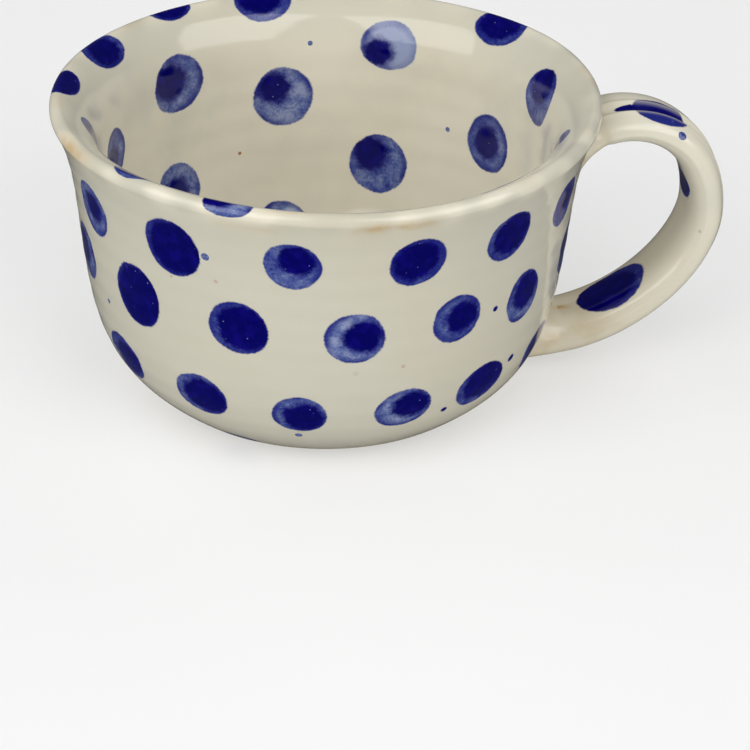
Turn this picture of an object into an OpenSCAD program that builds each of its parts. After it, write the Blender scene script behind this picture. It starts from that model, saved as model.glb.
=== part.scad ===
// Wide stoneware mug: a thick bowl with a rolled lip, a bare foot ring, and a
// pulled strap handle luted on with slip. Millimetres, +Z up. The origin is the
// centre of the foot on the table plane, and the handle points along +X.

/* [Bowl] */
// Outside diameter of the lip
rim_d = 110; // [100:1:120]
// Height of the lip above the table
mug_h = 64; // [58:1:70]
// Radius of the rolled lip's crest
lip_r = 1.6; // [1.2:0.1:2]
// Thickness of the wall below the flare of the lip
wall_t = 5.8; // [4.8:0.1:6.4]
// Thickness of the floor
floor_t = 5; // [4:0.2:6]

/* [Foot] */
// Outside diameter of the foot ring
foot_d = 61; // [56:1:64]
// Width of the band the mug stands on
foot_band = 4.6; // [3.5:0.1:6]
// Height of the foot ring
foot_h = 2.4; // [1.8:0.1:3]
// Rounding of the foot ring's two lower edges
foot_round = 0.7; // [0.4:0.1:0.9]

/* [Handle] */
// How far the middle of the strap reaches from the mug's axis
reach = 79; // [76:1:82]
// Strap width where it leaves the top joint
strap_w_top = 16.5; // [15:0.5:18]
// Strap width at the lower end
strap_w_low = 15.5; // [14:0.5:17]
// Strap thickness where it leaves the top joint
strap_t_top = 6.2; // [5.6:0.2:8]
// Strap thickness at the lower end
strap_t_low = 9.4; // [8:0.2:10.4]
// Depth of the finger-drawn channel down the strap's outer face
channel_depth = 0.9; // [0.4:0.1:1.2]
// How far the channel runs to the side of the strap's middle
channel_side = -2; // [-3:0.5:3]

/* [Hidden] */
$fn = 96;

// The named points below are drawn for a mug of these sizes, and scale with it.
rx = rim_d / 110;
rz = mug_h / 64;
rim_r = rim_d / 2;

// ---- curves ----------------------------------------------------------------
// Point at t on the cubic Bezier curve with the four control points p.
function bezier(p, t) =
    pow(1 - t, 3) * p[0] + 3 * pow(1 - t, 2) * t * p[1]
    + 3 * (1 - t) * t * t * p[2] + pow(t, 3) * p[3];
function bezier_slope(p, t) =
    3 * pow(1 - t, 2) * (p[1] - p[0]) + 6 * (1 - t) * t * (p[2] - p[1])
    + 3 * t * t * (p[3] - p[2]);
// n + 1 points along the curve, without its first point when from = 1.
function curve(p, n, from = 0) = [for (i = [from:n]) bezier(p, i / n)];
function arc(centre, r, a0, a1, n, from = 0) =
    [for (i = [from:n]) let (a = a0 + (a1 - a0) * i / n)
        centre + r * [cos(a), sin(a)]];
function scaled(points) = [for (p = points) [p[0] * rx, p[1] * rz]];
function unit(v) = v / norm(v);

// ---- bowl profile, [radius, height] ----------------------------------------
lip_centre = [rim_r - lip_r, mug_h - lip_r];
lip_under = -30; // where the outer flare runs into the crest
lip_inner = 120; // where the crest runs into the inner flare
lip_start = lip_centre + lip_r * [cos(lip_under), sin(lip_under)];
lip_end = lip_centre + lip_r * [cos(lip_inner), sin(lip_inner)];
bore_r = 51.4 * rx - wall_t;
floor_top = foot_h + floor_t;

waist = [48.7 * rx, 28 * rz];
shoulder = [bore_r, 51.5 * rz];
belly = concat([[35.5 * rx, foot_h]], scaled([[43.3, 8.6], [46.9, 13.4]]), [waist]);
flare = concat([waist], scaled([[50.6, 41], [50.1, 52.6]]), [lip_start]);
inner_flare = [lip_end, [bore_r + 2.4, mug_h - 2.2], [bore_r + 0.1, mug_h - 6.3], shoulder];
inner_wall = [shoulder, [bore_r - 0.3, 30 * rz], [bore_r - 1.1, floor_top + 1.6],
              [24 * rx, floor_top + 0.4]];

outer_side = concat(curve(belly, 14), curve(flare, 12, 1));
inner_side = concat(curve(inner_flare, 8, 1), curve(inner_wall, 16, 1));
crest = arc(lip_centre, lip_r, lip_under, lip_inner, 10, 1);

// Outside radius of the bowl at height z, and the point at [y, z] just off it.
seat = 0.05; // clearance that keeps the joints' flat facets out of the round wall
wall_table = [for (p = outer_side) [p[1], p[0]]];
function wall_r(z) = lookup(z, wall_table) + seat;
function on_wall(y, z) = [sqrt(pow(wall_r(z), 2) - y * y), y, z];

// ---- handle path in the XZ plane, and its section ---------------------------
upper_path = [[50.5 * rx, 50 * rz], [57 * rx, 60.3 * rz], [reach, 57 * rz], [reach, 35.5 * rz]];
lower_path = [[reach, 35.5 * rz], [reach, 24.5 * rz], [65.2 * rx, 8.8 * rz], [47.4 * rx, 7.6 * rz]];
// s runs from 0 at the upper wall, through 1 at the outermost point, to 2.
function path(s) = s <= 1 ? bezier(upper_path, s) : bezier(lower_path, s - 1);
function heading(s) = unit(s <= 1 ? bezier_slope(upper_path, s) : bezier_slope(lower_path, s - 1));
function strap_w(s) = strap_w_top + (strap_w_low - strap_w_top) * s / 2;
function strap_t(s) = strap_t_top + (strap_t_low - strap_t_top) * s / 2;

ring_n = 40; // points round the strap
squareness = 2.5; // exponent of the section's superellipse
function power(v, e) = sign(v) * pow(abs(v), e);
// Depth of the channel v mm from its middle. It has a soft raised edge on each side.
channel_r = 2; // half the channel's width
edge_r = 1.2; // half the width of its raised edges
function channel(v) =
    channel_depth * (exp(-pow(v / channel_r, 2)) - 0.4 * exp(-pow((abs(v) - channel_r - edge_r) / edge_r, 2)));
// [across, through] of the strap's edge at angle a; through is + on the outer face.
function section(a, w, t) =
    let (c = power(cos(a), 2 / squareness), d = power(sin(a), 2 / squareness), across = w / 2 * c)
    [across, t / 2 * d - (d > 0 ? channel(across - channel_side) * d * d : 0)];
// The section's points at s, set square to the path.
function ring(s) =
    let (p = path(s), h = heading(s), out = [-h[1], h[0]])
    [for (i = [0:ring_n - 1])
        let (q = section(360 * i / ring_n, strap_w(s), strap_t(s)))
        [p[0] + out[0] * q[1], q[0], p[1] + out[1] * q[1]]];

// ---- slip joints --------------------------------------------------------------
upper_s = 0.2; // the strap ends here, clear of the wall
lower_s = 1.94;
// A joint's footprint on the wall: centre height, half height and half width of
// the strap's own print, and how far the fillet spreads up, down and sideways.
upper_print = [51.5 * rz, 5, strap_w_top / 2 - 0.4, 1.6, 8, 2.2];
lower_print = [8 * rz, 4.3, strap_w_low / 2 - 0.4, 1, 1.3, 3.4];
fillet_rings = 8;
cap_rings = 4;

function print_point(a, f, spread) =
    let (c = power(cos(a), 2 / squareness), d = power(sin(a), 2 / squareness),
         rise = d > 0 ? f[3] : f[4])
    on_wall((f[2] + spread * f[5]) * c, f[0] + (f[1] + spread * rise) * d);
// Rings from the strap's end ring to the flared print on the wall: each line is
// tangent to the strap at one end and to the wall at the other.
function fillet(ends, f, after) =
    [for (k = [0:fillet_rings]) let (t = k / fillet_rings)
        [for (i = [0:ring_n - 1])
            let (a = (after ? -1 : 1) * 360 * i / ring_n)
            pow(1 - t, 2) * ends[i] + 2 * t * (1 - t) * print_point(a, f, 0)
            + t * t * print_point(a, f, 1)]];
// Rings that close the print, lying on the wall.
function print_cap(f, after) =
    [for (k = [1:cap_rings - 1]) let (t = 1 - k / cap_rings)
        [for (i = [0:ring_n - 1])
            let (a = (after ? -1 : 1) * 360 * i / ring_n, p = print_point(a, f, 1))
            on_wall(p[1] * t, f[0] + (p[2] - f[0]) * t)]];

// ---- skin ---------------------------------------------------------------------
// A closed solid through a list of rings that follow the path's heading. Each end closes on a point.
module skin(rings, first_point, last_point) {
    n = ring_n;
    count = len(rings);
    points = concat([for (r = rings) each r], [first_point, last_point]);
    sides = [for (k = [0:count - 2]) for (i = [0:n - 1])
        let (j = (i + 1) % n)
        each [[k * n + i, (k + 1) * n + i, k * n + j],
              [k * n + j, (k + 1) * n + i, (k + 1) * n + j]]];
    first_cap = [for (i = [0:n - 1]) [i, (i + 1) % n, count * n]];
    last_cap = [for (i = [0:n - 1])
        [(count - 1) * n + (i + 1) % n, (count - 1) * n + i, count * n + 1]];
    polyhedron(points, concat(sides, first_cap, last_cap), convexity = 6);
}
function reversed(list) = [for (k = [len(list) - 1:-1:0]) list[k]];
function middle(r) = [for (k = [0:2]) (min([for (p = r) p[k]]) + max([for (p = r) p[k]])) / 2];

// ---- parts --------------------------------------------------------------------
module cup_body() {
    color("ivory")
    rotate_extrude()
    polygon(concat([[0, foot_h]], outer_side, crest, inner_side, [[0, floor_top]]));
}

module foot_ring() {
    outer = foot_d / 2;
    inner = outer - foot_band;
    color("tan")
    rotate_extrude()
    polygon(concat(
        [[inner, foot_h]],
        arc([inner + foot_round, foot_round], foot_round, 180, 270, 5),
        arc([outer - foot_round, foot_round], foot_round, 270, 360, 5),
        [[outer, foot_h]]));
}

module handle() {
    steps = 38;
    rings = [for (k = [0:steps]) ring(upper_s + (lower_s - upper_s) * k / steps)];
    color("ivory") skin(rings, middle(rings[0]), middle(rings[steps]));
}

// The upper joint comes before the strap's start, and the lower one after its end.
module joint(s, f, after) {
    ends = ring(s);
    rings = concat(fillet(ends, f, after), print_cap(f, after));
    wall_point = on_wall(0, f[0]);
    if (after) skin(rings, middle(ends), wall_point);
    else skin(reversed(rings), wall_point, middle(ends));
}

module upper_joint() {
    color("wheat") joint(upper_s, upper_print, false);
}

module lower_joint() {
    color("wheat") joint(lower_s, lower_print, true);
}

cup_body();
foot_ring();
handle();
upper_joint();
lower_joint();
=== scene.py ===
import math
import random

import bpy
import numpy as np
from mathutils import Matrix, Vector, noise


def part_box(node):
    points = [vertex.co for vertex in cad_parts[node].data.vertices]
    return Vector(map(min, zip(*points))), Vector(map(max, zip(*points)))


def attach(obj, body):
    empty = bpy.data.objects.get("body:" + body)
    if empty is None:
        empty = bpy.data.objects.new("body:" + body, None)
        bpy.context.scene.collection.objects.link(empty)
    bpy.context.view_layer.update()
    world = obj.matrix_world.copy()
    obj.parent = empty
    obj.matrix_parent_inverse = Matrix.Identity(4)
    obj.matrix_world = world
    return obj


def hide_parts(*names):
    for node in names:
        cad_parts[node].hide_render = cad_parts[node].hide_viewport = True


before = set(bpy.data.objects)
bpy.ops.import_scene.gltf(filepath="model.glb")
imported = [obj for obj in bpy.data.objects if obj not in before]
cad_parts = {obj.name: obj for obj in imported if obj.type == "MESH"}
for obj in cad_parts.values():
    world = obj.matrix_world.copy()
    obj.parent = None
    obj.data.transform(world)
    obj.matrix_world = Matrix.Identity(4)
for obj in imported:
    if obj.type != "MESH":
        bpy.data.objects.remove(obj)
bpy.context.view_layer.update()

# The looks of a wide stoneware mug: thrown bowl, bare foot ring, pulled handle and
# its two slip joints, under a cream glaze stamped with cobalt dots. Shapes are worked
# out in millimetres in the CAD's frame and turned to metres as each mesh is made.

MM = 0.001
random.seed(11)


# ---- sizes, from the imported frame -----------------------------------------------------
def top_corner(node):
    """The largest x, y and z that a CAD node reaches, in mm."""
    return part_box(node)[1] / MM


body_high = top_corner("cup_body")
foot_high = top_corner("foot_ring")
handle_high = top_corner("handle")

RIM_R = body_high.y
HEIGHT = body_high.z
FOOT_R = foot_high.y
FOOT_H = foot_high.z
# The named points of the shapes are drawn for a rim of 110 mm and a height of 64 mm.
RX = RIM_R / 55
RZ = HEIGHT / 64
# The frame doesn't give these, so they repeat the CAD's own dimensions.
LIP_R = 1.6
WALL_T = 5.8
FLOOR_T = 5
FLOOR_TOP = FOOT_H + FLOOR_T
BORE_R = 51.4 * RX - WALL_T
FOOT_BAND = 4.6
FOOT_ROUND = 0.7
STRAP_T = 7.8  # at the handle's outermost point
REACH = handle_high.x - STRAP_T / 2


# ---- curves ---------------------------------------------------------------------------
def cubic(t, start, first, second, end):
    """The point at t, from 0 to 1, on a cubic Bezier curve with these control points."""
    near = (1 - t) ** 3 * start + 3 * (1 - t) ** 2 * t * first
    return near + 3 * (1 - t) * t * t * second + t**3 * end


def bezier(points, count, first=0):
    """count + 1 points along a cubic Bezier curve, or without the first ones."""
    t = np.arange(first, count + 1)[:, None] / count
    return cubic(t, *np.array(points, float))


def arc(centre, radius, start, end, count):
    a = np.radians(start + (end - start) * np.arange(count + 1) / count)
    return np.array(centre) + radius * np.stack([np.cos(a), np.sin(a)], 1)


def arc_length(points):
    steps = np.linalg.norm(np.diff(points, axis=0), axis=1)
    return np.concatenate([[0], np.cumsum(steps)])


def smooth(low, high, x):
    t = np.clip((x - low) / (high - low), 0, 1)
    return t * t * (3 - 2 * t)


def bell(x, width):
    return np.exp(-((x / width) ** 2))


def lumps(points, scale, seed):
    """Smooth noise from -1 to 1 at points in mm, with features about scale mm across."""
    shift = Vector((seed * 7.3, seed * 3.1, seed * 5.7))
    return np.array([noise.noise(Vector(p) / scale + shift) for p in points])


# ---- bowl profile: [radius, height], from the foot up the outside and down inside -----
def bowl_profile():
    lip = (RIM_R - LIP_R, HEIGHT - LIP_R)
    waist = (48.7 * RX, 28 * RZ)
    shoulder = (BORE_R, 51.5 * RZ)
    lip_start, *crest = arc(lip, LIP_R, -30, 120, 22)
    belly = bezier([(35.5 * RX, FOOT_H), (43.3 * RX, 8.6 * RZ), (46.9 * RX, 13.4 * RZ), waist], 42)
    flare = bezier([waist, (50.6 * RX, 41 * RZ), (50.1 * RX, 52.6 * RZ), lip_start], 50, 1)
    inner_flare = bezier(
        [crest[-1], (BORE_R + 2.4, HEIGHT - 2.2), (BORE_R + 0.1, HEIGHT - 6.3), shoulder], 30, 1
    )
    floor_edge = (24 * RX, FLOOR_TOP + 0.4)
    inner_wall = bezier(
        [shoulder, (BORE_R - 0.3, 30 * RZ), (BORE_R - 1.1, FLOOR_TOP + 1.6), floor_edge], 84, 1
    )
    floor = bezier([floor_edge, (18 * RX, FLOOR_TOP), (8, FLOOR_TOP), (0, FLOOR_TOP)], 26, 1)
    return np.concatenate([belly, flare, crest, inner_flare, inner_wall, floor])


PROFILE = bowl_profile()
PROFILE_S = arc_length(PROFILE)
CREST_ROW = int(PROFILE[:, 1].argmax())
CREST_S = PROFILE_S[CREST_ROW]


def shaped(radius, height, azimuth):
    """The thrown bowl isn't quite round: its radius and height, in mm, at an azimuth in radians."""
    up = np.clip(height / HEIGHT, 0, 1)
    oval = 0.2 * np.sin(2 * azimuth) + 0.15 * np.cos(2 * azimuth)
    oval += 0.18 * np.sin(3 * azimuth - 0.5) + 0.2 * np.sin(4 * azimuth)
    lean = 0.4 * np.cos(azimuth - 0.5)
    share = up * up * np.clip(radius / 20, 0, 1)
    rise = 0.12 * np.sin(2 * azimuth + 1) + 0.1 * np.sin(5 * azimuth)
    return radius + share * (oval + lean), height + rise * up**3


def wall_radius(height, azimuth):
    """Outside radius of the bowl, in mm, at a height and an azimuth in radians."""
    outside = PROFILE[: CREST_ROW + 1]
    r = np.interp(height, outside[:, 1], outside[:, 0])
    return shaped(r, np.asarray(height, float), azimuth)[0]


# ---- meshes ---------------------------------------------------------------------------
def grid_faces(rows, columns):
    """Quads of a grid that closes round on itself, facing outward for rows that climb."""
    r = np.arange(rows - 1)[:, None] * columns
    c = np.arange(columns)[None, :]
    n = (c + 1) % columns
    quads = np.stack([r + c, r + n, r + columns + n, r + columns + c], -1)
    return quads.reshape(-1, 4).tolist()


def closed(grid, first_point, last_point):
    """Points and faces of a skin through a grid's rows, each end closed with a fan to a point."""
    rows, columns = grid.shape[:2]
    faces = grid_faces(rows, columns)
    first, last = rows * columns, rows * columns + 1
    last_row = (rows - 1) * columns
    for c in range(columns):
        n = (c + 1) % columns
        faces.append([n, c, first])
        faces.append([last_row + c, last_row + n, last])
    return np.concatenate([grid.reshape(-1, 3), [first_point, last_point]]), faces


def make_piece(name, points, faces, material, node):
    """A smooth mesh object from points in mm. It rides on the root and stands for its CAD node."""
    mesh = bpy.data.meshes.new(name)
    mesh.from_pydata((np.asarray(points) * MM).tolist(), [], faces)
    mesh.validate()
    mesh.shade_smooth()
    mesh.materials.append(material)
    piece = bpy.data.objects.new(name, mesh)
    bpy.context.scene.collection.objects.link(piece)
    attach(piece, "root")
    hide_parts(node)
    return piece


def point_values(mesh, name, values):
    attribute = mesh.attributes.new(name, "FLOAT", "POINT")
    attribute.data.foreach_set("value", np.asarray(values, np.float32))


def lathe_points(profile, azimuths):
    radius, height = profile[:, 0][:, None], profile[:, 1][:, None]
    r, z = shaped(radius, height, azimuths[None, :])
    return np.stack([r * np.cos(azimuths), r * np.sin(azimuths), z + 0 * r], -1)


# ---- stamps ---------------------------------------------------------------------------
class Stamp:
    """One cobalt dot, or a speck of iron where iron is 1.

    across and up are its place on the surface, wide and tall its size in mm, and tilt its turn in
    degrees. core is the dark core's place and radius, as shares of the dot's own radius. wash is how
    pale the wash round the core is, or how strong a speck of iron is. flat dots lie on the bowl's
    floor, with x and y in mm as across and up."""

    def __init__(
        self, across, up, wide, tall=None, tilt=0, core=(0.1, 0.1, 0.7), wash=0.5, flat=False, iron=0
    ):
        self.across = across
        self.up = up
        self.half = np.array([wide, wide if tall is None else tall]) / 2
        self.tilt = math.radians(tilt)
        self.core = core
        self.wash = wash
        self.flat = flat
        self.iron = iron
        self.seed = random.random()

    def local(self, across_mm, up_mm):
        """Places in mm from the stamp's centre, turned and scaled so that its edge is at 1."""
        c, s = math.cos(self.tilt), math.sin(self.tilt)
        return np.stack([across_mm * c + up_mm * s, up_mm * c - across_mm * s], -1) / self.half


def paint(mesh, stamps, offsets):
    """Gives each face its nearest stamp's own coordinates, so that one material draws them all.

    offsets(stamp) returns the mm across and up from the stamp's centre to every vertex."""
    corner_vertex = np.zeros(len(mesh.loops), np.int32)
    mesh.loops.foreach_get("vertex_index", corner_vertex)
    starts = np.array([p.loop_start for p in mesh.polygons])
    counts = np.array([p.loop_total for p in mesh.polygons])
    best = np.full(len(starts), np.inf)
    owner = np.zeros(len(starts), np.int32)
    places = []
    for k, stamp in enumerate(stamps):
        place = stamp.local(*offsets(stamp))
        places.append(place)
        edge = (np.linalg.norm(place, axis=1) - 1) * stamp.half.min()
        score = np.add.reduceat(edge[corner_vertex], starts) / counts
        owner = np.where(score < best, k, owner)
        best = np.minimum(best, score)
    corner_owner = np.repeat(owner, counts)
    places = np.array(places)
    uv = mesh.uv_layers.new(name="stamp")
    uv.data.foreach_set("uv", places[corner_owner, corner_vertex].astype(np.float32).ravel())
    core = np.array([[*s.core, 1] for s in stamps], np.float32)
    kind = np.array([[s.seed, s.wash, s.iron, 1] for s in stamps], np.float32)
    for name, values in (("stamp_core", core), ("stamp_kind", kind)):
        layer = mesh.attributes.new(name, "FLOAT_COLOR", "CORNER")
        layer.data.foreach_set("color", values[corner_owner].ravel())


# ---- node helpers ---------------------------------------------------------------------
class Nodes:
    """Short calls for building a material's node tree."""

    def __init__(self, name):
        self.material = bpy.data.materials.new(name)
        self.material.use_nodes = True
        self.tree = self.material.node_tree
        self.tree.nodes.clear()

    def add(self, kind, inputs=None, **settings):
        node = self.tree.nodes.new("ShaderNode" + kind)
        for key, value in settings.items():
            setattr(node, key, value)
        for key, value in (inputs or {}).items():
            self.set(node.inputs[key], value)
        return node

    def set(self, socket, value):
        if isinstance(value, bpy.types.NodeSocket):
            self.tree.links.new(value, socket)
        else:
            socket.default_value = value

    def math(self, operation, a, b):
        return self.add("Math", {0: a, 1: b}, operation=operation).outputs[0]

    def swing(self, value, amount):
        """How far value lies from 0.5, times amount."""
        return self.math("MULTIPLY", self.math("SUBTRACT", value, 0.5), amount)

    def ramp(self, value, low, high, to_low=0.0, to_high=1.0):
        """Smoothly from to_low at low to to_high at high."""
        inputs = {"Value": value, "From Min": low, "From Max": high, "To Min": to_low, "To Max": to_high}
        return self.add("MapRange", inputs, interpolation_type="SMOOTHSTEP").outputs["Result"]

    def noise(self, vector, scale, detail, roughness=0.5):
        inputs = {"Vector": vector, "Scale": scale, "Detail": detail, "Roughness": roughness}
        return self.add("TexNoise", inputs, noise_dimensions="3D").outputs["Fac"]

    def mix(self, amount, a, b):
        node = self.add("Mix", data_type="RGBA")
        self.set(node.inputs[0], amount)
        self.set(node.inputs[6], a)
        self.set(node.inputs[7], b)
        return node.outputs[2]

    def attribute(self, name, output="Fac"):
        return self.add("Attribute", attribute_name=name).outputs[output]

    def place(self):
        """The point's place in the object's own frame, in metres."""
        return self.add("TexCoord").outputs["Object"]

    def channel(self, colours, index):
        return self.add("SeparateColor", {0: colours}).outputs[index]

    def surface(self, inputs):
        """Ends the tree in a principled shader with these inputs, and gives the material."""
        shader = self.add("BsdfPrincipled", inputs)
        self.add("OutputMaterial", {0: shader.outputs[0]})
        return self.material


def colour(red, green, blue):
    """Linear colour from the 0 to 255 values that a colour picker shows."""
    srgb = np.array([red, green, blue]) / 255
    linear = np.where(srgb <= 0.04045, srgb / 12.92, ((srgb + 0.055) / 1.055) ** 2.4)
    return (*[float(x) for x in linear], 1.0)


# The first two creams are a painted-shade copy for the outer wall and a painted-light copy for the
# inside, the lip and the handle.
CREAM_SHADED = colour(193, 190, 174)
CREAM_LIT = colour(216, 211, 193)
CREAM_WARM = colour(202, 192, 167)
CREAM_GREY = colour(196, 195, 185)
IRON = colour(184, 148, 84)
IRON_SPECK = colour(150, 92, 44)
NAVY = colour(0, 0, 84)
NAVY_LIGHT = colour(10, 4, 108)
BLUE_DEEP = colour(22, 20, 112)
BLUE_DARK = colour(32, 40, 118)
BLUE_MID = colour(76, 90, 144)
BLUE_PALE = colour(138, 148, 178)
CLAY = colour(190, 172, 142)
CLAY_DARK = colour(120, 98, 72)


# ---- materials ------------------------------------------------------------------------
def cream_layer(n, place):
    """Cream glaze in a shaded and a lit copy: painted shade on the outer wall, painted light inside, on
    the lip and on the handle. Over it broad warm and grey clouds, rare iron specks, and iron where it
    breaks.
    """
    # Painted light and shade: the shaded cream on the outer wall, the lit cream where the painted light
    # value is high.
    cream = n.mix(n.attribute("painted_light"), CREAM_SHADED, CREAM_LIT)
    clouds = n.ramp(n.noise(place, 28, 3), 0.4, 0.75, 0, 0.4)
    cream = n.mix(clouds, cream, CREAM_WARM)
    grey = n.ramp(n.noise(place, 55, 4, 0.6), 0.45, 0.75, 0, 0.35)
    cream = n.mix(grey, cream, CREAM_GREY)
    cells = n.add("TexVoronoi", {"Vector": place, "Scale": 120.0})
    chosen = n.ramp(n.channel(cells.outputs["Color"], 0), 0.93, 0.97)
    speck = n.math("MULTIPLY", n.ramp(cells.outputs["Distance"], 0.05, 0.1, 0.45, 0), chosen)
    cream = n.mix(speck, cream, IRON_SPECK)
    patchy = n.ramp(n.noise(place, 240, 4, 0.6), 0.3, 0.7, 0.35, 1)
    broken = n.math("MULTIPLY", n.attribute("iron"), patchy)
    return n.mix(broken, cream, IRON)


def cobalt_layer(n, under):
    """Sponged cobalt dots over the colour under them: a mottled wash, a darker rim and a navy core.

    The stamp UV is 0 at a dot's middle and 1 at its edge."""
    uv = n.add("UVMap", uv_map="stamp").outputs["UV"]
    core = n.add("SeparateColor", {0: n.attribute("stamp_core", "Color")})
    kind = n.add("SeparateColor", {0: n.attribute("stamp_kind", "Color")})
    seed, wash_tone, iron = kind.outputs[0], kind.outputs[1], kind.outputs[2]
    split = n.add("SeparateXYZ", {0: uv})
    layer = n.math("MULTIPLY", seed, 40.0)  # far enough apart for each dot's own noise
    own = n.add("CombineXYZ", {0: split.outputs[0], 1: split.outputs[1], 2: layer}).outputs[0]
    distance = n.add("VectorMath", {0: uv}, operation="LENGTH").outputs["Value"]
    edge = n.math("ADD", distance, n.swing(n.noise(own, 1.2, 3), 0.17))
    stipple = n.noise(own, 11, 4, 0.65)
    frayed = n.math("ADD", edge, n.swing(stipple, 0.09))
    inside = n.ramp(frayed, 0.96, 1.03, 1, 0)

    mottle = n.math("ADD", n.noise(own, 2.2, 5, 0.6), n.swing(stipple, 0.55))
    tone = n.math("ADD", mottle, n.math("SUBTRACT", wash_tone, 0.5))
    wash = n.mix(n.ramp(tone, 0.25, 0.6), BLUE_DARK, BLUE_MID)
    wash = n.mix(n.ramp(tone, 0.5, 0.9), wash, BLUE_PALE)
    rim_strength = n.ramp(n.noise(own, 0.9, 1), 0.38, 0.62, 0.25, 0.95)
    rim = n.math("MULTIPLY", n.ramp(edge, 0.66, 0.95), rim_strength)
    wash = n.mix(rim, wash, BLUE_DARK)

    centre = n.add("CombineXYZ", {0: core.outputs[0], 1: core.outputs[1]}).outputs[0]
    from_core = n.add("VectorMath", {0: uv, 1: centre}, operation="DISTANCE").outputs["Value"]
    ragged = n.swing(n.noise(own, 3.2, 7, 0.7), 0.55)
    past_core = n.math("SUBTRACT", n.math("ADD", from_core, ragged), core.outputs[2])
    dark = n.mix(n.ramp(past_core, -0.02, 0.26, 0.7, 0), wash, BLUE_DEEP)
    navy = n.mix(n.ramp(n.noise(own, 2.6, 4, 0.6), 0.42, 0.75), NAVY, NAVY_LIGHT)
    dark = n.mix(n.ramp(past_core, -0.1, 0.1, 1, 0), dark, navy)
    dark = n.mix(n.attribute("pooled"), dark, navy)
    pinholes = n.add("TexVoronoi", {"Vector": own, "Scale": 5.0})
    open_hole = n.ramp(n.channel(pinholes.outputs["Color"], 1), 0.86, 0.9)
    hole = n.math("MULTIPLY", n.ramp(pinholes.outputs["Distance"], 0.06, 0.16, 0.55, 0), open_hole)
    dark = n.mix(hole, dark, BLUE_PALE)

    dark = n.mix(iron, dark, IRON_SPECK)
    weaker = n.math("MULTIPLY", iron, n.math("SUBTRACT", 1.0, wash_tone))
    strength = n.math("MULTIPLY", inside, n.math("SUBTRACT", 1.0, weaker))
    thin = n.math("SUBTRACT", 1.0, n.math("MULTIPLY", n.attribute("thin"), 0.42))
    return n.mix(n.math("MULTIPLY", strength, thin), under, dark)


def glaze(name):
    """Glossy stoneware glaze, faintly rippled and pitted.

    Each vertex carries four values for it: iron, how brown the glaze breaks; painted_light, how far the
    painted lit cream stands in for the painted shaded one;
    thin, how far the cobalt has run off; and pooled, how far it has run together."""
    n = Nodes(name)
    place = n.place()
    surface = cobalt_layer(n, cream_layer(n, place))
    ripple = n.noise(place, 150, 2)
    pits = n.noise(place, 900, 2)
    height = n.math("ADD", ripple, n.math("MULTIPLY", pits, 0.12))
    bump = n.add("Bump", {"Height": height, "Strength": 0.12, "Distance": 0.0006})
    roughness = n.ramp(n.noise(place, 90, 3), 0.3, 0.7, 0.06, 0.12)
    return n.surface({
        "Base Color": surface,
        "Roughness": roughness,
        "Normal": bump.outputs[0],
        "IOR": 1.5,
        "Specular IOR Level": 0.32,
    })


def bare_clay(name):
    """Sanded, unglazed stoneware: buff, gritty, and stained here and there with glaze."""
    n = Nodes(name)
    place = n.place()
    grain = n.noise(place, 900, 5, 0.7)
    body = n.mix(n.ramp(grain, 0.35, 0.68), CLAY_DARK, CLAY)
    stain = n.ramp(n.noise(place, 45, 4), 0.4, 0.7, 0, 0.5)
    body = n.mix(stain, body, CREAM_WARM)
    cells = n.add("TexVoronoi", {"Vector": place, "Scale": 700.0})
    grit = n.ramp(cells.outputs["Distance"], 0.1, 0.25, 0.8, 0)
    body = n.mix(grit, body, CLAY_DARK)
    bump = n.add("Bump", {"Height": grain, "Strength": 0.5, "Distance": 0.0003})
    return n.surface({"Base Color": body, "Roughness": 0.82, "Normal": bump.outputs[0]})


# ---- the bowl -------------------------------------------------------------------------
# Dots on the outside: azimuth in degrees, mm up the wall from the foot, width, height and tilt.
# The list holds the front's dots, and the rows after it go on round the back.
OUTSIDE = [
    Stamp(-159, 52, 11, 12, core=(0.1, 0.1, 0.5), wash=0.55),
    Stamp(-132, 53, 12.6, 13, core=(0.12, 0.0, 0.92), wash=0.4),
    Stamp(-104.5, 54, 11.2, 10.8, -12, core=(0.08, 0.26, 0.62), wash=0.55),
    Stamp(-78, 54, 11.6, 10.8, 25, core=(-0.04, 0.1, 0.8), wash=0.35),
    Stamp(-55, 54, 11.6, 11, 20, core=(0.12, 0.05, 0.84), wash=0.55),
    Stamp(-32, 53, 10.8, 10.6, core=(0.1, 0.1, 0.5), wash=0.3),
    Stamp(-169.6, 38, 11.5, 12, core=(-0.3, 0.1, 0.6), wash=0.5),
    Stamp(-144.5, 38, 12.4, 14, core=(0.05, 0.0, 0.95), wash=0.4),
    Stamp(-117, 38, 12.2, 11.6, -20, core=(0.12, 0.08, 0.86), wash=0.5),
    Stamp(-91, 37.5, 11.8, 11.4, core=(0.27, 0.06, 0.6), wash=0.66),
    Stamp(-67, 38.5, 10.9, 10.8, core=(0.22, 0.02, 0.62), wash=0.5),
    Stamp(-46, 37, 10.6, 11.6, core=(0.1, 0.2, 0.72), wash=0.6),
    Stamp(-21, 38, 11, 11.5, core=(0.0, 0.1, 0.7), wash=0.4),
    Stamp(-155.5, 19, 11.8, 11, core=(0.2, 0.0, 0.7), wash=0.4),
    Stamp(-128.5, 19, 11.8, 10.8, core=(0.14, 0.0, 0.8), wash=0.55),
    Stamp(-103.5, 18, 10.8, 10.4, core=(0.16, -0.12, 0.72), wash=0.5),
    Stamp(-78, 18.5, 11.8, 10.6, 10, core=(0.28, 0.1, 0.62), wash=0.6),
    Stamp(-56, 19, 12.4, 10.8, 15, core=(0.15, 0.1, 0.85), wash=0.45),
    Stamp(-31, 18.5, 11.5, 11, core=(0.1, 0.0, 0.8), wash=0.4),
    Stamp(-124.5, 1.4, 8, 4.6, core=(0, 0, 0.6), wash=0.4),
]
# Each row: first azimuth, step, count, mm up the wall.
OUTSIDE_ROWS = [(20, 26, 7, 54), (5, 26.3, 7, 38), (21.5, 26.1, 7, 19)]
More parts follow.
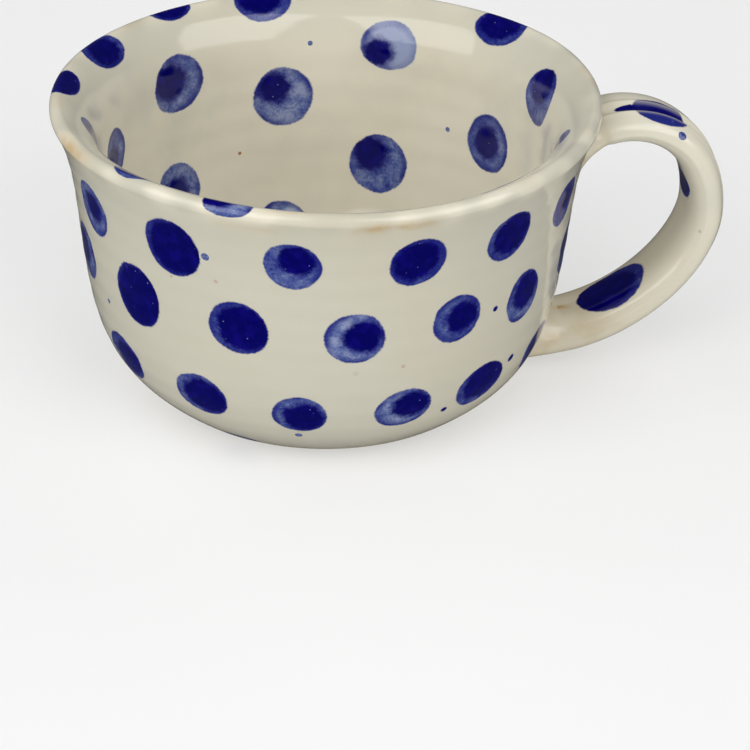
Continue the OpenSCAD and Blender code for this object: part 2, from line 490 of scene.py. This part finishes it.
# On the lip and inside: azimuth, and mm along the profile past the crest.
INSIDE = [
    Stamp(168.5, 0.4, 11, 7.6, core=(0.0, 0.0, 0.9), wash=0.35),
    Stamp(147, 2.2, 12, 9.4, core=(0.0, 0.1, 0.72), wash=0.4),
    Stamp(121, -1.6, 11, 9.2, core=(0.0, 0.1, 0.8), wash=0.4),
    Stamp(98, 2, 12.6, 10.4, core=(0.1, -0.1, 0.74), wash=0.55),
    Stamp(37, 2, 12.4, 10, core=(0.1, -0.1, 0.8), wash=0.4),
    Stamp(-142, 1.8, 9.8, 5.6, core=(-0.1, 0.1, 0.7), wash=0.45),
    Stamp(-117.6, -0.4, 9.8, 5.2, core=(-0.5, 0.25, 0.62), wash=0.6),
    Stamp(-86, 9, 11.5, core=(0.2, 0.2, 0.6)),
    Stamp(-58, 8, 11.5, core=(0.2, -0.2, 0.6)),
    Stamp(-22.5, 8.6, 7.4, 8.6, core=(0.1, 0.1, 0.7), wash=0.4),
    Stamp(-177, 9.6, 8.4, 9, core=(0.1, 0.1, 0.7), wash=0.4),
    Stamp(126, 16.6, 13.6, 13, -20, core=(0.34, -0.02, 0.6), wash=0.6),
    Stamp(94, 24.5, 13.4, 13.6, core=(0.3, -0.32, 0.5), wash=0.68),
    # The next dot's pale wash is a painted reflection of a window.
    Stamp(65, 12, 12.6, 11, core=(0.4, 0.3, 0.5), wash=0.95),  # pale, where a window shines on it
    Stamp(12, 10.9, 11.6, 12.2, core=(0.1, -0.34, 0.62), wash=0.5),
    Stamp(66.5, 39.5, 13.2, 13.2, core=(0.3, -0.34, 0.56), wash=0.55),
    Stamp(32, 28, 12.4, 12.8, core=(0.1, 0.0, 0.55), wash=0.55),
    Stamp(156, 23.6, 10.4, 11, core=(0.3, 0.3, 0.6), wash=0.5),
    Stamp(128.6, 40.5, 11.8, 12, core=(0.1, 0.12, 0.55), wash=0.65),
    Stamp(96, 54.2, 12, 12, core=(0.1, 0.1, 0.6), wash=0.7),
    Stamp(-177, 38, 12, core=(0.1, 0.2, 0.6)),
    Stamp(-140, 26, 12, core=(0.2, -0.1, 0.6)),
    Stamp(-112, 43, 12, core=(-0.1, 0.2, 0.6)),
    Stamp(-73, 28, 12, core=(0.2, 0.2, 0.6)),
    Stamp(-48, 45, 12, core=(0.3, 0.0, 0.6)),
    Stamp(-4, 35, 12, core=(0.1, -0.2, 0.6)),
    Stamp(36, 54, 12, core=(0.1, 0.2, 0.6)),
    Stamp(-14, 56, 12, core=(0.2, 0.1, 0.6)),
    Stamp(-85, 58, 12, core=(0.2, 0.1, 0.6)),
    Stamp(-150, 58, 12, core=(0.1, -0.2, 0.6)),
    Stamp(155, 57, 12, core=(0.1, -0.2, 0.6)),
]
# On the floor of the bowl: x and y in mm.
FLOOR = [
    Stamp(2, 3, 12, flat=True),
    Stamp(17, -12, 11.5, flat=True),
    Stamp(-16, -11, 12, flat=True),
    Stamp(-10, 19, 11.5, flat=True),
    Stamp(21, 13, 11, flat=True),
]
# Stray drops of cobalt and spots of iron: azimuth, mm along the profile from the foot, size.
# An iron spot's fourth value is its strength.
DROPS = [(-56, 37.5, 1.3), (-46, 22, 1.8), (-66, 15, 1.4), (75, 30, 1.6), (142, 45, 1.3), (168, 12, 1.5)]
PALE_DROPS = [(-123.7, 52.9, 1.7), (-104, 11, 1.5), (-158, 31.2, 1.1), (86.5, 80, 1.1), (46.5, 96, 1.1)]
PALE_DROPS += [(31, 62, 1.5), (-175, 100, 1.2)]
IRON_SPOTS = [(107, 104, 0.8, 0.9), (-121.7, 47.7, 0.9, 0.3), (-79.6, 29.8, 0.9, 0.3)]
IRON_SPOTS += [(60, 46, 1.2, 0.5), (130, 27, 0.9, 0.7), (-20, 92, 0.9, 0.6), (-133, 46, 0.5, 0.6)]
IRON_SPOTS += [(15, 20, 1.0, 0.5)]


def row_stamps(rows):
    """The dots of each row, a little unevenly placed."""
    made = []
    for first, step, count, up in rows:
        for k in range(count):
            azimuth = first + step * k + random.uniform(-2, 2)
            core = (random.uniform(-0.1, 0.3), random.uniform(-0.2, 0.25), random.uniform(0.5, 0.9))
            size = random.uniform(10.8, 12.4)
            place = up + random.uniform(-1, 1)
            tall = size * random.uniform(0.92, 1.06)
            tilt = random.uniform(-30, 30)
            wash = random.uniform(0.35, 0.65)
            made.append(Stamp(azimuth, place, size, tall, tilt, core, wash))
    return made


def bowl_stamps():
    stamps = OUTSIDE + row_stamps(OUTSIDE_ROWS)
    for stamp in INSIDE:
        stamp.up += CREST_S
    stamps += INSIDE + FLOOR
    stamps += [Stamp(a, s, size, core=(0, 0, 0.5), wash=0.3) for a, s, size in DROPS]
    stamps += [Stamp(a, s, size, core=(0, 0, -0.6), wash=0.6) for a, s, size in PALE_DROPS]
    for a, s, size, strength in IRON_SPOTS:
        stamps.append(Stamp(a, s, size, core=(0, 0, 0), wash=strength, iron=1))
    return stamps


def bowl_rows():
    """[radius, height] of each ring of the bowl, and its mm along the profile from the foot.

    The first rows lie under the bowl, from inside the foot ring to just past it."""
    under = np.array([[12, FOOT_H], [FOOT_R - FOOT_BAND - 1, FOOT_H], [FOOT_R + 1, FOOT_H - 0.02]])
    gap = 4  # from the last of them to the profile's first point
    under_s = arc_length(under)
    rows = np.concatenate([under, PROFILE[:-1]])
    along = np.concatenate([under_s - under_s[-1] - gap, PROFILE_S[:-1]])
    return rows, along


def hand_thrown(points, rows, along, azimuths):
    """The bowl's points with broad swells, faint throwing lines and a slightly dimpled lip."""
    s, a = along[:, None], azimuths[None, :]

    def lumpy(scale, seed):
        return lumps(points.reshape(-1, 3), scale, seed).reshape(points.shape[:2])

    swell = lumpy(26, 1)
    turns = np.sin(2 * np.pi * s / 5.2 + a + 1.4 * swell)
    turns *= smooth(8, 16, s) * (1 - smooth(56, 62, s))
    inner_turns = np.sin(2 * np.pi * s / 6.4 - a + swell) * smooth(CREST_S + 14, CREST_S + 20, s)
    dimples = lumpy(4.5, 8) + lumpy(11, 10)
    offset = 0.12 * swell + 0.035 * turns - 0.04 * inner_turns
    offset += 0.021 * dimples * bell(s - CREST_S + 1, 4)
    offset *= smooth(0, 5, s)
    slope = np.gradient(rows, axis=0)
    slope /= np.maximum(np.linalg.norm(slope, axis=1), 1e-9)[:, None]
    outward = offset * slope[:, 1][:, None]
    upward = -offset * slope[:, 0][:, None]
    return points + np.stack([outward * np.cos(a), outward * np.sin(a), upward], -1)


def colour_bowl(mesh, points, vertex_s, azimuth):
    """Iron where the glaze breaks, painted light inside the bowl and a mottled painted highlight on the
    lip; the outer wall keeps the painted shade.
    """
    iron = 0.3 * bell(vertex_s - 62.5, 0.9) * smooth(0.1, 0.5, lumps(points, 12, 4))
    iron += 0.75 * bell(vertex_s - 65.5, 1.6) * bell(azimuth + 160, 6)
    under_lip = bell(vertex_s - 63.8, 1.1) * bell(azimuth + 84, 10)
    iron += 0.85 * under_lip * smooth(-0.25, 0.3, lumps(points, 6, 14))
    iron += 0.25 * bell(vertex_s - CREST_S, 1.2) * smooth(0.05, 0.5, lumps(points, 9, 5))
    iron += 0.55 * bell(vertex_s, 1.6)
    # Painted light: the lit cream from the crest inward, and then a mottled painted highlight along the
    # lip.
    painted_light = smooth(CREST_S, CREST_S + 16, vertex_s)
    painted_light += 1.3 * bell(vertex_s - CREST_S + 1.5, 3.5) * smooth(-0.5, 0.4, lumps(points, 7, 12))
    point_values(mesh, "iron", iron)
    point_values(mesh, "painted_light", np.minimum(painted_light, 1))
    point_values(mesh, "thin", 0 * vertex_s)
    point_values(mesh, "pooled", 0 * vertex_s)


def make_bowl(material):
    columns = 400
    azimuths = np.arange(columns) * 2 * np.pi / columns
    rows, along = bowl_rows()
    grid = hand_thrown(lathe_points(rows, azimuths), rows, along, azimuths)
    points, faces = closed(grid, (0, 0, FOOT_H), (0, 0, FLOOR_TOP))
    piece = make_piece("bowl", points, faces, material, "cup_body")

    ends = [along[0] - rows[0, 0], PROFILE_S[-1]]
    vertex_s = np.concatenate([np.repeat(along, columns), ends])
    azimuth = np.degrees(np.arctan2(points[:, 1], points[:, 0]))
    radius = np.hypot(points[:, 0], points[:, 1])
    on_floor = vertex_s > PROFILE_S[-1] - 40
    out_of_reach = np.where(on_floor, 0, 500)

    def offsets(stamp):
        if stamp.flat:
            return points[:, 0] - stamp.across + out_of_reach, points[:, 1] - stamp.up
        turn = (azimuth - stamp.across + 180) % 360 - 180
        return np.radians(turn) * np.maximum(radius, 20), vertex_s - stamp.up

    paint(piece.data, bowl_stamps(), offsets)
    colour_bowl(piece.data, points, vertex_s, azimuth)


# ---- the foot ring --------------------------------------------------------------------
def make_foot(material):
    """The bare ring: its sanded lower face is a little rough, and its top sits in the bowl's clay."""
    columns = 288
    inner = FOOT_R - FOOT_BAND
    under_bowl = FOOT_H + 0.3
    profile = np.concatenate([
        [[inner + 0.5, under_bowl], [inner, FOOT_H], [inner, FOOT_H * 0.6]],
        arc((inner + FOOT_ROUND, FOOT_ROUND), FOOT_ROUND, 180, 270, 8),
        [[inner + FOOT_BAND * t, 0] for t in (0.3, 0.45, 0.6, 0.75)],
        arc((FOOT_R - FOOT_ROUND, FOOT_ROUND), FOOT_ROUND, 270, 360, 8),
        [[FOOT_R, FOOT_H * 0.6], [FOOT_R, FOOT_H], [FOOT_R - 0.5, under_bowl]],
    ])
    azimuths = np.arange(columns) * 2 * np.pi / columns
    points = lathe_points(profile, azimuths)
    rough = lumps(points.reshape(-1, 3), 3, 9).reshape(len(profile), columns)
    points[..., 2] += 0.05 * (rough + 1) * (points[..., 2] < FOOT_ROUND)
    quads = grid_faces(len(profile), columns)
    first = np.arange(columns)
    after = (first + 1) % columns
    last = (len(profile) - 1) * columns
    quads += np.stack([last + first, last + after, after, first], -1).tolist()
    points = points.reshape(-1, 3)
    make_piece("foot_ring_clay", points, quads, material, "foot_ring")


# ---- the handle and its joints --------------------------------------------------------
# The strap's middle line in the XZ plane: two Bezier curves that meet where it reaches furthest.
UPPER = [(50.5 * RX, 50 * RZ), (57 * RX, 60.3 * RZ), (REACH, 57 * RZ), (REACH, 35.5 * RZ)]
LOWER = [(REACH, 35.5 * RZ), (REACH, 24.5 * RZ), (65.2 * RX, 8.8 * RZ), (47.4 * RX, 7.6 * RZ)]
# The strap runs between these places on its path, and the joints lie beyond them.
UPPER_S = 0.2
LOWER_S = 1.94
AROUND = 200
STRAP_RINGS = 170
FILLET_RINGS = 18
# The finger-drawn channel: how far it lies from the strap's middle, half its width, and how far
# its raised edges lie from its own middle.
CHANNEL_SIDE = -2.1
CHANNEL_R = 1.5
CHANNEL_EDGE = 2.2
STRAP_W = 16.5
SQUARE = 0.8  # below 1, so that the strap's section has rounded corners


def strap_path(s):
    """Point and heading of the strap's middle line in the XZ plane, at s from 0 to 2."""
    points = np.array(UPPER if s <= 1 else LOWER)
    t = s if s <= 1 else s - 1
    legs = np.diff(points, axis=0)
    heading = (1 - t) ** 2 * legs[0] + 2 * (1 - t) * t * legs[1] + t * t * legs[2]
    return cubic(t, *points), heading / np.linalg.norm(heading)


def squared(wave, exponent=SQUARE):
    """A cosine or sine, bent so that the circle it draws becomes a square with rounded corners."""
    return np.sign(wave) * np.abs(wave) ** exponent


def strap_section(s):
    """[across, through] round the pulled strap at s; through is + on the outer face."""
    a = np.arange(AROUND) * 2 * np.pi / AROUND
    wide = STRAP_W - 0.5 * s + 0.2 * math.sin(5 * s)
    thick = 6.2 + 1.6 * s + 0.1 * math.sin(4 * s + 1)
    c = squared(np.cos(a))
    d = squared(np.sin(a), np.where(np.sin(a) > 0, 0.78, 0.84))
    aside = c * wide / 2 - CHANNEL_SIDE
    channel = 0.8 * bell(aside, CHANNEL_R) - 0.34 * bell(np.abs(aside) - CHANNEL_EDGE, 0.7)
    hollow = 0.25 * bell(c, 0.6)
    relief = np.where(d > 0, channel, hollow) * d * d
    side_ridge = 0.2 * bell(c * c - 1, 0.1) * bell(d + 0.15, 0.16)
    across = (wide / 2) * c + side_ridge * np.sign(c)
    through = (thick / 2) * d - np.sign(d) * relief
    return np.stack([across, through], 1), c, d


def strap_ring(s):
    point, heading = strap_path(s)
    section, _, _ = strap_section(s)
    out = np.array([-heading[1], heading[0]])
    x = point[0] + out[0] * section[:, 1]
    z = point[1] + out[1] * section[:, 1]
    return np.stack([x, section[:, 0], z], 1)


def print_ring(height, half_tall, half_wide, up, down, side, corner, spread, flip):
    """The joint's outline on the wall. spread is 0 at the strap's own print, 1 at the fillet's edge.

    corner is how far the slip was wiped out past its lower corners."""
    a = np.arange(AROUND) * 2 * np.pi / AROUND * (-1 if flip else 1)
    c = squared(np.cos(a))
    d = squared(np.sin(a))
    grow = np.where(d > 0, up, down)
    y = (half_wide + spread * (side + corner * bell(d + 0.55, 0.5))) * c
    z = height + (half_tall + spread * grow) * d
    azimuth = np.arcsin(y / wall_radius(z, 0))
    r = wall_radius(z, azimuth) - 0.06 * spread
    return np.stack([r * np.cos(azimuth), y, z], 1)


def fillet_rings(s, seat, flip):
    """Rings from the strap's end at s to the wall, where they lie tangent to it.

    They run straight on from the strap, all but on its upper side, where the wall is too near."""
    end = strap_ring(s)
    near = print_ring(*seat, 0, flip)
    far = print_ring(*seat, 1, flip)
    _, heading = strap_path(s)
    onward = np.array([heading[0], 0, heading[1]]) * (1 if flip else -1)
    _, _, d = strap_section(s)
    straight = smooth(-0.9, -0.3, d) if flip else 1 - smooth(-0.7, 0.1, d)
    gap = np.linalg.norm(near - end, axis=1)[:, None]
    first = end + 2 / 3 * (near - end)
    first += straight[:, None] * (end + 2 / 3 * gap * onward - first)
    second = far + 2 / 3 * (near - far)
    return [cubic(k / FILLET_RINGS, end, first, second, far) for k in range(1, FILLET_RINGS + 1)]


# Where each joint sits on the wall, in print_ring's own order from height to corner.
UPPER_SEAT = (51.5 * RZ, 5, 7.85, 1.6, 8, 2.4, 0)
LOWER_SEAT = (8 * RZ, 4.3, 7.35, 1, 1.3, 3.4, 3)
# Dots and specks: mm along the strap from the wall under the lip, and mm round it from the
# middle of its outer face.
HANDLE_STAMPS = [
    Stamp(18.8, -3, 10.8, 9.4, core=(0.1, 0.1, 0.42), wash=0.2),
    Stamp(17.4, CHANNEL_SIDE, 13.8, 2.8, core=(0, 0, 1.2), wash=0.3),
    Stamp(22.9, -8.4, 1.8, core=(0, 0, 0.2), wash=0.5),
    # The next dot's broad dark core is partly painted shade on the strap's inner face.
    Stamp(71.7, -19.6, 18.4, 11.6, core=(0.22, 0.0, 0.9), wash=0.3),
    Stamp(37, 19.9, 8, 9, core=(0, 0, 0.8), wash=0.4),
    Stamp(52, 0.5, 12, 11, core=(0.1, 0.1, 0.6), wash=0.5),
    Stamp(40, -17, 0.7, core=(0, 0, 0), wash=0.6, iron=1),
    Stamp(46.5, -12, 0.8, core=(0, 0, 0), wash=0.3, iron=1),
]


def make_handle(material):
    """The strap and its two joints, worked out as one skin and then split into three pieces."""
    steps = UPPER_S + (LOWER_S - UPPER_S) * np.arange(STRAP_RINGS + 1) / STRAP_RINGS
    strap = [strap_ring(s) for s in steps]
    top = fillet_rings(UPPER_S, UPPER_SEAT, False)[::-1]
    low = fillet_rings(LOWER_S, LOWER_SEAT, True)
    first = FILLET_RINGS
    last = first + STRAP_RINGS
    rings = creased(np.array(top + strap + low), first, last)
    swell = lumps(rings.reshape(-1, 3), 18, 6).reshape(rings.shape[:2])
    number = np.arange(len(rings))
    fade = smooth(0, 6, np.minimum(number, len(rings) - 1 - number))
    rings = rings + skin_normals(rings) * (0.12 * swell * fade[:, None])[..., None]
    normals = skin_normals(rings)

    inside_joint = np.array([strap_path(UPPER_S * t)[0] for t in np.linspace(0, 1, 20)])
    along = arc_length(rings.mean(1))
    along += arc_length(inside_joint)[-1] - along[first]
    around, total = round_the_strap(rings)
    parts = [
        ("upper_slip", 0, first, "upper_joint", "joint_glaze"),
        ("strap", first, last, "handle", "handle_glaze"),
        ("lower_slip", last, len(rings) - 1, "lower_joint", "joint_glaze"),
    ]
    for name, start, end, node, slot in parts:
        span = slice(start, end + 1)
        piece = skin_piece(name, rings[span], normals[span], material, node)
        paint_skin(piece.data, along[span], around[span], total[span])
        colour_skin(piece.data, name, rings[span], along[span], around[span])


def creased(rings, first, last):
    """The rings with a shallow groove at the strap's upper end, and a barely felt one at its lower."""
    made = rings.copy()
    for centre, share in ((first, 0.045), (last, 0.006)):
        for k in range(len(rings)):
            depth = share * bell(k - centre, 2.4)
            if depth > 0.001:
                middle = rings[k].mean(0)
                made[k] = middle + (rings[k] - middle) * (1 - depth)
    return made


def round_the_strap(rings):
    """Every point's mm round its ring from the middle of the outer face, and each ring's length."""
    steps = np.linalg.norm(np.roll(rings, -1, 1) - rings, axis=2)
    girth = np.concatenate([np.zeros((len(rings), 1)), np.cumsum(steps, 1)], 1)
    outer_middle = AROUND // 4
    around = girth[:, outer_middle][:, None] - girth[:, :-1]
    total = girth[:, -1][:, None]
    return (around + total / 2) % total - total / 2, total


def skin_normals(rings):
    along = np.gradient(rings, axis=0)
    around = np.roll(rings, -1, 1) - np.roll(rings, 1, 1)
    normals = np.cross(along, around)
    return -normals / np.maximum(np.linalg.norm(normals, axis=2), 1e-9)[..., None]


def skin_piece(name, rings, normals, material, node):
    """A piece of the skin. It keeps the whole skin's normals, so that no seam shows."""
    middles = rings.mean(1)
    points, faces = closed(rings, middles[0], middles[-1])
    piece = make_piece(name, points, faces, material, node)
    ends = np.array([middles[0] - middles[1], middles[-1] - middles[-2]])
    ends /= np.linalg.norm(ends, axis=1)[:, None]
    vertex_normals = np.concatenate([normals.reshape(-1, 3), ends])
    piece.data.normals_split_custom_set_from_vertices(vertex_normals.tolist())
    return piece


def paint_skin(mesh, along, around, total):
    vertex_along = np.concatenate([np.repeat(along, AROUND), along[[0, -1]]])
    vertex_around = np.concatenate([around.ravel(), [0, 0]])
    vertex_total = np.concatenate([np.repeat(total[:, 0], AROUND), total[[0, -1], 0]])

    def offsets(stamp):
        turn = (vertex_around - stamp.up + vertex_total / 2) % vertex_total - vertex_total / 2
        return vertex_along - stamp.across, turn

    paint(mesh, HANDLE_STAMPS, offsets)


def colour_skin(mesh, name, rings, along, around):
    """Pigment thin on the channel's edges and pooled in it, iron where the glaze breaks, and painted
    light: the lit cream on the strap, fading to the wall's painted shade across each joint.
    """
    section, _, d = strap_section(1)
    aside = np.abs(section[:, 0] - CHANNEL_SIDE)
    edges = bell(aside - CHANNEL_EDGE + 0.2, 0.4) * (d > 0)
    trough = 0.97 * bell(aside, 1.9) * (d > 0)
    from_first = np.repeat(np.arange(len(rings)), AROUND)
    from_last = len(rings) - 1 - from_first
    if name == "strap":
        # The whole strap takes the painted light of the lit cream.
        painted_light = np.ones(len(from_first))
        iron = 0.7 * bell(from_first, 3) + 0.35 * bell(from_last, 28)
        iron += 1.2 * bell(np.repeat(along, AROUND) - 84.4, 2.8) * bell(around.ravel() + 20.4, 1.2)
    else:
        from_wall = from_first if name == "upper_slip" else from_last
        # Across a joint the painted light fades from the wall's painted shade to the strap's lit cream.
        painted_light = smooth(0, FILLET_RINGS, from_wall)
        iron = 0.38 + 0.6 * bell(from_wall - 4, 4)
        iron = iron + 0.45 * bell(from_wall - FILLET_RINGS, 4) * (name == "upper_slip")
    iron = iron * (0.3 + 0.7 * smooth(-0.2, 0.4, lumps(rings.reshape(-1, 3), 4, 3)))
    layers = {
        "iron": (iron, 0),
        "painted_light": (painted_light, 1),
        "thin": (np.tile(edges, len(rings)), 0),
        "pooled": (np.tile(trough, len(rings)), 0),
    }
    for layer, (values, at_ends) in layers.items():
        point_values(mesh, layer, np.concatenate([values, [at_ends, at_ends]]))


# ---- floor, light and camera ----------------------------------------------------------
FLOOR_GLOW = 0.45


def floor_material():
    """Pale and matt. Its own faint glow keeps the shadows soft, as on a lit table."""
    return Nodes("pale_floor").surface({
        "Base Color": colour(174, 174, 174),
        "Roughness": 0.9,
        "Emission Color": (1, 1, 1, 1),
        "Emission Strength": FLOOR_GLOW,
    })


def make_floor():
    reach = 6.0
    mesh = bpy.data.meshes.new("floor")
    corners = [(-reach, -reach, 0), (reach, -reach, 0), (reach, reach, 0), (-reach, reach, 0)]
    mesh.from_pydata(corners, [], [[0, 1, 2, 3]])
    mesh.materials.append(floor_material())
    plane = bpy.data.objects.new("floor", mesh)
    bpy.context.scene.collection.objects.link(plane)
    plane.visible_glossy = False


# Soft boxes: azimuth and elevation in degrees, distance, width and height in m, power in W.
SOFTBOXES = [
    ("front_right", -58, 30, 1.1, 0.85, 0.75, 5.7),
    ("front_left", -146, 30, 1.1, 0.75, 0.75, 6.8),
    ("front_high", -98, 60, 1.2, 0.9, 0.9, 4.4),
    ("overhead", 70, 80, 1.4, 1.2, 1.2, 0.8),
    ("back_left", 140, 40, 1.2, 0.9, 0.9, 3.3),
    ("back_right", 40, 40, 1.2, 0.9, 0.9, 3.3),
]
# Two windows, which the glaze mirrors and which light nothing. It doesn't mirror the soft boxes.
WINDOWS = [
    ("window_right", -47, 34, 1.1, 1.15, 1.1, 16),
    ("window_left", -146, 34, 1.1, 1.15, 1.05, 13),
]
WORLD_LIGHT = 0.06


def softbox(name, azimuth, elevation, distance, width, height, power, mirrored=False):
    """A rectangular light that faces the mug. A mirrored one shows in the glaze and lights nothing."""
    light = bpy.data.lights.new(name, "AREA")
    light.shape = "RECTANGLE"
    light.size = width
    light.size_y = height
    light.energy = power
    lamp = bpy.data.objects.new(name, light)
    a, e = math.radians(azimuth), math.radians(elevation)
    direction = Vector((math.cos(a) * math.cos(e), math.sin(a) * math.cos(e), math.sin(e)))
    target = Vector((0, 0, HEIGHT * MM * 0.7))
    lamp.location = target + direction * distance
    lamp.rotation_euler = direction.to_track_quat("Z", "Y").to_euler()
    lamp.visible_diffuse = not mirrored
    lamp.visible_glossy = mirrored
    bpy.context.scene.collection.objects.link(lamp)


def make_light():
    world = bpy.data.worlds.new("studio")
    world.use_nodes = True
    background = world.node_tree.nodes["Background"]
    background.inputs[0].default_value = (1, 1, 1, 1)
    background.inputs[1].default_value = WORLD_LIGHT
    bpy.context.scene.world = world
    bpy.context.scene.view_settings.view_transform = "Standard"
    for row in SOFTBOXES:
        softbox(*row)
    for row in WINDOWS:
        softbox(*row, mirrored=True)


def make_camera():
    """A long lens in front of the mug, which sits high in the frame, with the handle to the right."""
    azimuth = -98  # degrees
    rise, distance = 276.8, 471.1  # mm above the table, and from the mug's axis
    pan, tilt, roll = -0.0236, -0.5331, -0.0248  # radians
    data = bpy.data.cameras.new("camera")
    data.lens = 123.8
    data.sensor_width = 36
    camera = bpy.data.objects.new("camera", data)
    a = math.radians(azimuth)
    place = Vector((distance * math.cos(a), distance * math.sin(a), rise)) * MM
    turn = Matrix.Rotation(math.radians(azimuth + 90), 4, "Z")
    turn = turn @ Matrix.Rotation(pan, 4, "Z") @ Matrix.Rotation(tilt, 4, "X")
    turn = turn @ Matrix.Rotation(roll, 4, "Y")
    camera.matrix_world = Matrix.Translation(place) @ turn @ Matrix.Rotation(math.pi / 2, 4, "X")
    bpy.context.scene.collection.objects.link(camera)
    bpy.context.scene.camera = camera


make_camera()
make_light()
make_floor()
cream = glaze("cream_glaze")
make_bowl(cream)
make_foot(bare_clay("bare_stoneware"))
make_handle(cream)
